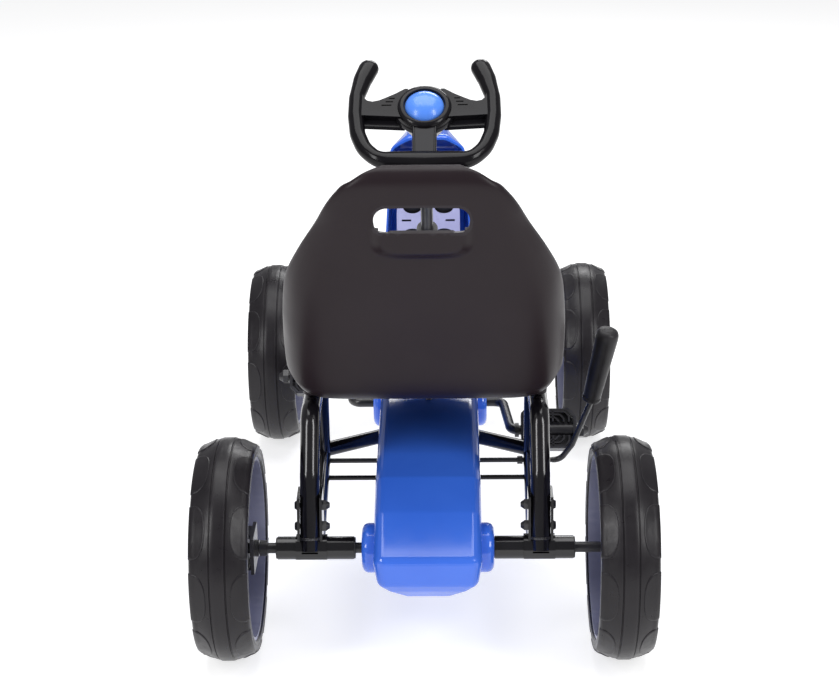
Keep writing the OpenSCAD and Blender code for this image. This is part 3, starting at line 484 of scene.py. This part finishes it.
def make_seat():
    outline = hole_outline()
    places = []
    for i in range(len(STATIONS) - 1):
        a, b = STATIONS[i], STATIONS[i + 1]
        span = math.hypot(b[0] - a[0], b[1] - a[1])
        pitch = 2.4 if b[1] > 455 else 6.0
        steps = max(3, round(span / pitch))
        places += [i + k / steps for k in range(steps)]
    places.append(float(len(STATIONS) - 1))
    columns = 120
    rows = []
    for s in places:
        y, z, w, lift = catmull(STATIONS, s)
        lift = max(lift, 0)
        ahead, behind = catmull(STATIONS, min(s + 0.05, len(STATIONS) - 1.0)), catmull(
            STATIONS, max(s - 0.05, 0.0))
        dy, dz = ahead[0] - behind[0], ahead[1] - behind[1]
        norm = math.hypot(dy, dz)
        rows.append((y, z, w, lift, dy / norm, dz / norm))

    def grid(depth, bulge):
        out = []
        for y, z, w, lift, dy, dz in rows:
            line = []
            for j in range(columns + 1):
                t = 2 * j / columns - 1
                x = w * (0.35 * math.sin(math.pi / 2 * t) + 0.65 * t)
                turn = lift * abs(t) ** 8 + depth
                px, py, pz = x, y + turn * dz, z - turn * dy
                if pz > 455 and dz > 0.5:
                    py -= bulge * grip_bulge(px, pz)
                    if abs(px) < 60 and 494 < pz < 538:
                        gap, cx, cz = closest(outline, px, pz)
                        if gap < 1.45:
                            py += (cz - pz) * dy / dz
                            px, pz = cx, cz
                line.append((px, py, pz))
            out.append(line)
        return out

    outer, inner = grid(0.0, 1.0), grid(SEAT_T, 0.9)
    n_rows, n_cols = len(rows), columns + 1
    points = [at(*p) for line in outer + inner for p in line]
    keep = set()
    for i in range(n_rows - 1):
        for j in range(columns):
            quad = [outer[i][j], outer[i][j + 1], outer[i + 1][j], outer[i + 1][j + 1]]
            cx = sum(p[0] for p in quad) / 4
            cz = sum(p[2] for p in quad) / 4
            if not (rows[i][1] > 455 and inside(outline, cx, cz)):
                keep.add((i, j))
    total = n_rows * n_cols
    faces = []
    for i, j in sorted(keep):
        a = i * n_cols + j
        quad = (a, a + 1, a + n_cols + 1, a + n_cols)
        faces.append(quad)
        faces.append(tuple(total + k for k in reversed(quad)))
        for di, dj, p, q in ((-1, 0, 0, 1), (0, 1, 1, 2), (1, 0, 2, 3), (0, -1, 3, 0)):
            if (i + di, j + dj) not in keep:
                faces.append((quad[p], quad[q], total + quad[q], total + quad[p]))
    used = sorted({k for f in faces for k in f})
    renumber = {k: n for n, k in enumerate(used)}
    shell = ([points[k] for k in used],
             [tuple(renumber[k] for k in f) for f in faces])
    seat = piece("seat_shell", [shell], SEAT, "kart", ("seat",),
                 bevel=1.3, angle=50, segments=3)
    # bosses under the pan, around the screws
    lugs = [lathe([(3.4, 274.4), (9.4, 274.4), (10, 275.2), (10, top), (3.4, top)],
                  at(s * 129, y, 0), (0, 0, 1), 32)
            for y, top in ((95, 278.2), (168, 279.8)) for s in (-1, 1)]
    piece("seat_bosses", lugs, SEAT, "kart")
    return seat


# ---------------------------------------------------------------- tyres

TYRE_R, TYRE_HALF = 125.0, 31.5


def tyre_profile():
    """(radius, side) loop of the tyre's section, the grooves beside the crown included."""
    half = [(TYRE_R, 0.0), (TYRE_R, 3.0), (TYRE_R - 0.05, 6.2), (TYRE_R - 0.5, 7.5),
            (TYRE_R - 1.9, 8.1), (TYRE_R - 2.0, 8.7), (TYRE_R - 1.3, 9.4)]
    for k in range(1, 9):
        t = k / 8
        half.append((123.7 - 6.3 * t ** 1.25, 9.4 + 16.1 * t))
    for a in range(25, 90, 13):
        half.append((TYRE_R - 14 + 6 * math.cos(rad(a)) + 0.4,
                     TYRE_HALF - 6 + 6 * math.sin(rad(a))))
    half += [(109.5, TYRE_HALF), (108.9, 31.0), (108.3, 31.0), (107.7, TYRE_HALF),
             (105.6, TYRE_HALF), (104.4, 31.2), (103.4, 30.2), (103.05, 29.2)]
    inner = [(103.05, 0.0)]
    right = half
    left = [(r, -x) for r, x in reversed(half[1:])]
    return right + inner + left


def tread_curve():
    """Shoulder's outline from the sidewall towards the crown, by length, for the pads."""
    return [(r, x) for r, x in tyre_profile()[7:20] if x > 9]


def along(curve, s):
    """Point and outward normal at a length along an open curve of (radius, side)."""
    for (r0, x0), (r1, x1) in zip(curve, curve[1:]):
        d = math.hypot(r1 - r0, x1 - x0)
        if s <= d or (r1, x1) == curve[-1]:
            t = s / d
            return (r0 + (r1 - r0) * t, x0 + (x1 - x0) * t,
                    (x1 - x0) / d, -(r1 - r0) / d)
        s -= d


def pad_shells(side):
    """Raised D-shaped pads of one shoulder as (radius, side, angle) shells."""
    curve = tread_curve()
    reach = sum(math.hypot(b[0] - a[0], b[1] - a[1]) for a, b in zip(curve, curve[1:]))
    edge = reach - 1.0  # straight side of the D, near the sidewall
    shells = []
    half_angle, depth = 14.6, edge - 2.0
    outline = []
    for k in range(25):
        a = math.pi * k / 24
        c, s = math.cos(a), math.sin(a)
        outline.append((half_angle * math.copysign(abs(c) ** 0.8, c),
                        edge - depth * abs(s) ** 0.72))
    for k in range(1, 12):
        outline.append((-half_angle + 2 * half_angle * k / 12, edge))
    middle = (0.0, edge - depth * 0.45)
    # (scale towards the middle, height over the shoulder)
    for lean in range(10):
        rings = []
        for scale, height in ((1.0, -0.3), (0.985, 0.62), (0.955, 0.95), (0.91, 1.0),
                              (0.86, 0.9), (0.6, 0.75), (0.3, 0.75)):
            ring = []
            for a, s in outline:
                aa = middle[0] + (a - middle[0]) * scale
                ss = middle[1] + (s - middle[1]) * scale
                r, x, nr, nx = along(curve, ss)
                ring.append((r + nr * height, side * (x + nx * height), aa + 36 * lean))
            rings.append(ring)
        shells.append(rings)
    return shells


def make_tyre(name, node, body):
    low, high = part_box(node)
    centre = (low + high) / 2

    def spot(r, x, degrees):
        a = rad(degrees)
        return centre + Vector((x, r * math.cos(a), r * math.sin(a))) / 1000

    profile = tyre_profile()
    count = 240
    rings = [[spot(r, x, 360 * k / count) for r, x in profile] for k in range(count)]
    shells = [loft(rings, looped=True)]
    for side in (-1, 1):
        for rings in pad_shells(side):
            shells.append(loft([[spot(*p) for p in ring] for ring in rings]))
    piece(name, shells, TYRE, body, (node,), angle=28)


def make_tyres():
    for name, body in (("rear_tyre_left", "rear_axle"),
                       ("rear_tyre_right", "rear_right_wheel"),
                       ("front_tyre_left", "front_left_wheel"),
                       ("front_tyre_right", "front_right_wheel")):
        make_tyre(name + "_skin", name, body)


# ---------------------------------------------------------------- steering wheel

HUB, LEAN = (0, 329, 545), rad(35)


def at_hub(x, y, z):
    """Point from the steering wheel's own plane: across, up in the plane, to the driver."""
    return at(x + HUB[0], HUB[1] + y * math.cos(LEAN) - z * math.sin(LEAN),
              HUB[2] + y * math.sin(LEAN) + z * math.cos(LEAN))


HUB_AXIS = Vector((0, -math.sin(LEAN), math.cos(LEAN)))


def make_steering_wheel():
    # rim from the left horn's tip round to the right one's
    left = [(-69, 67, 0), (-76, 48, 0), (-82.5, 20, 0), (-83, -10, 0), (-80, -38, 0),
            (-72, -60, 0), (-55, -78, 0), (0, -79, 0)]
    flat = left + [(-x, y, z) for x, y, z in reversed(left[:-1])]
    path = [at_hub(*p) for p in rounded(flat, 40, 9)]

    def thick(t):
        t = min(t, 1 - t) * 2  # 0 at the tips, 1 in the middle of the lower bar
        return (9.6 + 2.9 * (1 - smoothstep(0.02, 0.22, t))
                + 4.0 * smoothstep(0.70, 0.88, t)) / 1000

    def deep(t):
        return min(thick(t), 0.0098)

    rim = sweep(path, thick, deep, count=28, up=HUB_AXIS)
    arms = []
    for s in (-1, 1):
        top = [(84, -12), (84, 24), (78, 25), (74.5, 20), (72.5, 14), (69, 10.4),
               (63, 8.9), (55, 10.8), (46, 15.5), (36, 21), (24, 29), (20, 29),
               (20, -16)]
        arms.append(prism([(s * x, y) for x, y in top], -3.5, 6.4, at_hub))
        arms.append(prism([(s * x, y) for x, y in
                           ((76, -11), (22, -11), (24, -25), (72, -22))],
                          -8.5, -2.5, at_hub))
    lower = prism([(-13, -20), (13, -20), (12.4, -74), (-12.4, -74)], -4, 5.5, at_hub)
    piece("steering_rim", [rim], WHEEL, "steering",
          ("steering_wheel",))
    arms = piece("steering_arms", arms, WHEEL, "steering",
                 bevel=1.6, angle=28, segments=3)
    slots = []
    for s in (-1, 1):
        for k, (x0, x1) in enumerate(((40, 52), (38, 47), (36, 43))):
            y = 2.0 + 5.4 * k
            a, b = sorted((s * x0, s * x1))
            slots.append(block((a, y, 4.6), (b, y + 1.6, 9), at_hub))
    cut(arms, slots)
    piece("steering_lower_arm",
          [lower] + [sweep([at_hub(s * 13, -26, 4), at_hub(s * 12.2, -70, 4)], 0.0022,
                           count=10) for s in (-1, 1)],
          WHEEL, "steering", bevel=1.2)
    # hub: a collar around the button, a groove and a cone behind it
    collar = [(24.6, 3.0), (24.6, 9.0), (25.6, 10.2), (28.5, 10.2), (31.5, 8.6),
              (32.6, 6.4), (33.2, 5.0), (33.2, 4.2), (35.8, 3.6), (36.8, 1.8),
              (36.8, -3.0), (6.2, -3.0), (6.2, 3.0)]
    cone = [(8.1, -30), (21.0, -30), (23.0, -28), (34.0, -4.2), (35.0, -2.8),
            (35.0, 0.0), (8.1, 0.0)]
    piece("steering_hub", [lathe(collar, at_hub(0, 0, 0), HUB_AXIS)], WHEEL,
          "steering", angle=40)
    webs = [prism([(s * x, y) for x, y in ((14, 16), (70, 8), (70, -10), (14, -14))],
                  -8, -3.6, at_hub) for s in (-1, 1)]
    piece("steering_back_cover",
          [lathe(cone, at_hub(0, 0, 0), HUB_AXIS)] + webs, WHEEL, "steering",
          ("steering_wheel_back",), bevel=0.8)
    dome = [(0.4, 17.9), (4, 17.75), (8, 17.2), (12, 16.1), (16, 14.4), (19, 12.6),
            (21.4, 10.6), (22.9, 8.6), (23.7, 6.6), (23.7, 3.6), (0.4, 3.6)]
    piece("horn_dome", [lathe(dome, at_hub(0, 0, 0), HUB_AXIS, closed=False)], HORN,
          "horn", ("horn_button",))


# ---------------------------------------------------------------- fairing

def convex(samples):
    """Closed skin around sample points."""
    bm = bmesh.new()
    for p in samples:
        bm.verts.new(p)
    result = bmesh.ops.convex_hull(bm, input=bm.verts)
    loose = [g for g in result["geom_interior"] if isinstance(g, bmesh.types.BMVert)]
    bmesh.ops.delete(bm, geom=loose, context="VERTS")
    bmesh.ops.delete(bm, geom=[v for v in bm.verts if not v.link_faces],
                     context="VERTS")
    bmesh.ops.dissolve_limit(bm, angle_limit=rad(0.4), verts=bm.verts, edges=bm.edges)
    bm.verts.index_update()
    shell = ([v.co.copy() for v in bm.verts],
             [tuple(v.index for v in f.verts) for f in bm.faces])
    bm.free()
    return shell


def ball(x, y, z, r, rows=12):
    points = []
    for i in range(rows + 1):
        a = math.pi * i / rows
        for j in range(2 * rows if 0 < i < rows else 1):
            b = math.pi * j / rows
            points.append(at(x + r * math.sin(a) * math.cos(b),
                             y + r * math.sin(a) * math.sin(b), z + r * math.cos(a)))
    return points


# Y, Z and half width of the fairing's corners, and their outer and inner radius
OUTER_ROUND, INNER_ROUND = 13.9, 11.4
FAIRING = ((598, 196, 50), (598, 300, 46), (598, 418, 38), (602, 430, 22),
           (640, 190, 50), (704, 205, 40), (700, 300, 40), (668, 398, 34),
           (640, 428, 20))


def sideways(y, z, x):
    """Places an outline drawn on Y and Z, pushed along X."""
    return at(x, y, z)


def endways(x, z, y):
    """Places an outline drawn on X and Z, pushed along Y."""
    return at(x, y, z)


def leaning(x, z, y):
    """As endways(), leaning back with the fairing's open side."""
    return at(x, y - (z - 200) * 0.045 + 3, z)


def make_fairing():
    outer = [p for y, z, x in FAIRING for s in (-1, 1)
             for p in ball(s * x, y, z, OUTER_ROUND)]
    inner = [p for y, z, x in FAIRING for s in (-1, 1)
             for p in ball(s * x, y, z, INNER_ROUND)]
    shell = piece("fairing_shell", [convex(outer)], BLUE, "kart",
                  ("fairing",), angle=30)
    behind = [(560, 150), (606, 150), (606, 200), (592, 470), (560, 470)]
    cut(shell, [convex(inner)])
    cut(shell, [prism(behind, -100, 100, sideways)])
    cut(shell, [block((-100, 560, 150), (100, 760, 192))])
    soften(shell, 0.7)
    # inner panel across the open back, lavender as a painted reflection on the blue, with
    # its cut-outs and a dark tray behind it as painted shade in them
    panel = piece("fairing_panel",
                  [prism([(-45, 225), (45, 225), (44, 330), (39, 400), (-39, 400),
                          (-44, 330)], 607, 610, leaning)],
                  PANEL_PAINTED_REFLECTION, "kart", bevel=0.6)
    slots = []
    for s in (-1, 1):
        a, b = sorted((s * 24, s * 37))
        slots.append(prism([(a, 317.5), (b, 317.5), (b, 320.5), (a, 320.5)], 590, 630,
                           endways))
        arch = [(s * (22 + 13 * math.cos(rad(a))), 338 + 9 * math.sin(rad(a)))
                for a in range(180, 361, 12)] + [(s * 35, 352), (s * 9, 352)]
        slots.append(prism(arch, 590, 630, endways))
        arch = [(s * (22 + 14 * math.cos(rad(a))), 298 + 9 * math.sin(rad(a)))
                for a in range(0, 181, 12)] + [(s * 8, 286), (s * 36, 286)]
        slots.append(prism(arch, 590, 630, endways))
    for slot in slots:
        cut(panel, [slot])
    # painted shade: a dark sheet behind the cut-outs stands in for the shade seen through
    # them
    piece("fairing_shade_sheet",
          [prism([(-41, 230), (41, 230), (40, 330), (37, 396), (-37, 396), (-40, 330)],
                 616, 618, leaning)],
          STEEL, "kart", bevel=0.6)


# ---------------------------------------------------------------- pedals

CRANK_Y, CRANK_Z, THROW, PEDAL_LEAN = 351, 152, 90, 53


def make_pedal(name, node, body, sign):
    a = rad(PEDAL_LEAN)
    y0, z0 = CRANK_Y - sign * THROW, CRANK_Z

    def place(x, y, z):
        return at(sign * x, y0 + y * math.cos(a) - z * math.sin(a),
                  z0 + y * math.sin(a) + z * math.cos(a))

    x0, x1, half = 117.0, 186.0, 26.0

    def ring(inset, low, high):
        p0, p1, q = x0 + inset, x1 - inset, half - inset
        c0, c1 = 7.0 - inset * 0.6, 11.0 - inset * 0.6
        return prism([(p0 + c0, -q), (p1 - c1, -q), (p1, -q + c1), (p1, q - c1),
                      (p1 - c1, q), (p0 + c0, q), (p0, q - c0), (p0, -q + c0)],
                     low, high, place)

    body_shells = []
    frame_path = [(x0 + 7, -half + 2), (x1 - 11, -half + 2), (x1 - 2, -half + 11),
                  (x1 - 2, half - 11), (x1 - 11, half - 2), (x0 + 7, half - 2),
                  (x0 + 2, half - 7), (x0 + 2, -half + 7)]
    rings = []
    for bx, by in frame_path:
        out = Vector((bx - (x0 + x1) / 2, by)).normalized()
        rings.append([place(bx - out.x * 2, by - out.y * 2, -8.8),
                      place(bx + out.x * 2, by + out.y * 2, -8.8),
                      place(bx + out.x * 2, by + out.y * 2, 8.8),
                      place(bx - out.x * 2, by - out.y * 2, 8.8)])
    body_shells.append(loft(rings, looped=True))
    body_shells.append(ring(4, -1.8, 1.8))
    # nested U ribs above and below the plate, open towards the pin's middle
    def rib(points, top):
        points = rounded([Vector((x, y, 0)) for x, y in points], 5, 5)
        low, high = (1.6, 8.6) if top else (-8.6, -1.6)
        rings = []
        for i, p in enumerate(points):
            ahead = (points[min(i + 1, len(points) - 1)]
                     - points[max(i - 1, 0)]).normalized()
            across = Vector((-ahead.y, ahead.x, 0)) * 1.1
            rings.append([place(p.x - across.x, p.y - across.y, low),
                          place(p.x + across.x, p.y + across.y, low),
                          place(p.x + across.x, p.y + across.y, high),
                          place(p.x - across.x, p.y - across.y, high)])
        return loft(rings)

    for top in (True, False):
        for s in (-1, 1):
            for inset in (0, 6.5, 13):
                body_shells.append(rib([(x0 + 3, s * (21.5 - inset * 0.55)),
                                        (x1 - 14 - inset, s * (21.5 - inset * 0.55)),
                                        (x1 - 9 - inset, s * (16 - inset * 0.5)),
                                        (x1 - 9 - inset, s * 8.5)], top))
        for x in (x0 + 12, x0 + 26, x0 + 40):
            body_shells.append(rib([(x, -24), (x, -9)], top))
            body_shells.append(rib([(x, 9), (x, 24)], top))
    body_shells.append(lathe([(6.06, 0), (7.6, 0), (8, 0.4), (8, 68.6), (7.6, 69),
                              (6.06, 69)], place(x0, 0, 0),
                             place(x0 + 1, 0, 0) - place(x0, 0, 0), 40))
    piece(name, body_shells, PEDAL, body, (node,), bevel=0.35)


# ---------------------------------------------------------------- hand lever grip

def make_grip():
    start = Vector((196, 169, 232))
    way = Vector((16, -19, 92)).normalized()
    base = at(*start)
    profile = [(4.0, 1.6), (9.2, 0.3), (10.6, 0.8), (11.3, 2.2), (11.3, 5.4),
               (10.6, 6.4), (10.7, 7.2), (12.0, 45), (13.2, 82), (13.4, 90),
               (13.0, 94.5), (11.6, 97.6), (9.0, 99.2), (5.0, 99.9), (0.5, 100)]
    piece("brake_grip_sleeve", [lathe(profile, base, way, 56, closed=False)], GRIP,
          "brake_lever", ("brake_grip",), angle=40)


# ---------------------------------------------------------------- welds

def bead(centre, axis, radius, thick, seed, count=72):
    """Rippled weld bead around a tube."""
    random.seed(seed)
    axis = Vector(axis).normalized()
    side = axis.orthogonal().normalized()
    other = axis.cross(side)
    rings = []
    for k in range(count):
        a = TAU * k / count
        out = side * math.cos(a) + other * math.sin(a)
        size = thick * (1 + 0.16 * math.sin(k * 1.9) + random.uniform(-0.08, 0.08))
        rings.append([centre + out * ((radius + size * math.cos(TAU * j / 8)) / 1000)
                      + axis * (size * math.sin(TAU * j / 8) / 1000)
                      for j in range(8)])
    return loft(rings, looped=True)


def make_welds():
    shells = []
    for s in (-1, 1):
        leg = Vector((0, 29, 79))
        shells.append(bead(at(s * 129, -4, 139), leg, 11.2, 1.5, 3 + s))
        shells.append(bead(at(s * 36, 264, 149), (1, 0, 0), 9.3, 1.2, 9 + s))
        shells.append(bead(at(s * 30, 600, 125), (1, 0, 0), 14.2, 1.4, 15 + s))
    piece("weld_beads", shells, WELD, "kart", angle=60)


# ---------------------------------------------------------------- CAD nodes

def finish_cad_nodes():
    slots = {row["node"]: row["material_slot"] for row in frame["record"]["subparts"]}
    for name, obj in nodes.items():
        obj.data.materials.clear()
        obj.data.materials.append(BY_SLOT[slots[name]])


# ---------------------------------------------------------------- floor and light

def make_floor():
    mat = bpy.data.materials.new("floor")
    mat.use_nodes = True
    tree = mat.node_tree
    shader = tree.nodes["Principled BSDF"]
    shader.inputs["Roughness"].default_value = 0.9
    shader.inputs["Specular IOR Level"].default_value = 0.1
    tex = tree.nodes.new("ShaderNodeTexNoise")
    tex.inputs["Scale"].default_value = 3.0
    ramp = tree.nodes.new("ShaderNodeValToRGB")
    ramp.color_ramp.elements[0].color = (0.60, 0.60, 0.60, 1)
    ramp.color_ramp.elements[1].color = (0.62, 0.62, 0.62, 1)
    tree.links.new(tex.outputs["Fac"], ramp.inputs["Fac"])
    tree.links.new(ramp.outputs["Color"], shader.inputs["Base Color"])
    shader.inputs["Emission Color"].default_value = (1, 1, 1, 1)
    shader.inputs["Emission Strength"].default_value = 0.68
    size = 12.0
    mesh = bpy.data.meshes.new("floor")
    mesh.from_pydata([(-size, -size, 0), (size, -size, 0), (size, size, 0),
                      (-size, size, 0)], [], [(0, 1, 2, 3)])
    floor = bpy.data.objects.new("floor", mesh)
    mesh.materials.append(mat)
    scene.collection.objects.link(floor)
    floor.location.z = -0.0005


def make_light():
    world = bpy.data.worlds.new("studio")
    scene.world = world
    world.use_nodes = True
    tree = world.node_tree
    tree.nodes.clear()
    new, link = tree.nodes.new, tree.links.new
    path = new("ShaderNodeLightPath")
    seen, felt = new("ShaderNodeBackground"), new("ShaderNodeBackground")
    seen.inputs["Color"].default_value = (1, 1, 1, 1)
    seen.inputs["Strength"].default_value = 1.0
    felt.inputs["Color"].default_value = (0.97, 0.97, 1.0, 1)
    felt.inputs["Strength"].default_value = 0.30
    blend, out = new("ShaderNodeMixShader"), new("ShaderNodeOutputWorld")
    link(path.outputs["Is Camera Ray"], blend.inputs[0])
    link(felt.outputs[0], blend.inputs[1])
    link(seen.outputs[0], blend.inputs[2])
    link(blend.outputs[0], out.inputs["Surface"])
    for name, place, target, size, power in (
            ("top", (0.0, 0.3, 2.6), (0, 0, 0.2), (2.4, 1.8), 42),
            ("left", (-1.9, -1.9, 1.9), (0, 0, 0.25), (0.7, 1.8), 34),
            ("right", (1.9, -1.7, 1.9), (0, 0, 0.25), (0.7, 1.8), 34),
            ("back", (0.4, 2.6, 1.8), (0, 0, 0.3), (1.6, 0.8), 22)):
        data = bpy.data.lights.new(name, "AREA")
        data.shape = "RECTANGLE"
        data.size, data.size_y = size
        data.energy = power
        lamp = bpy.data.objects.new(name, data)
        lamp.location = place
        aim = Vector(target) - Vector(place)
        lamp.rotation_euler = aim.to_track_quat("-Z", "Y").to_euler()
        scene.collection.objects.link(lamp)


make_camera()
make_seat()
make_tyres()
make_steering_wheel()
make_fairing()
make_pedal("pedal_right_tread", "pedal_right", "pedal_right", 1)
make_pedal("pedal_left_tread", "pedal_left", "pedal_left", -1)
make_grip()
make_welds()
finish_cad_nodes()
make_floor()
make_light()
scene.view_settings.view_transform = "Standard"
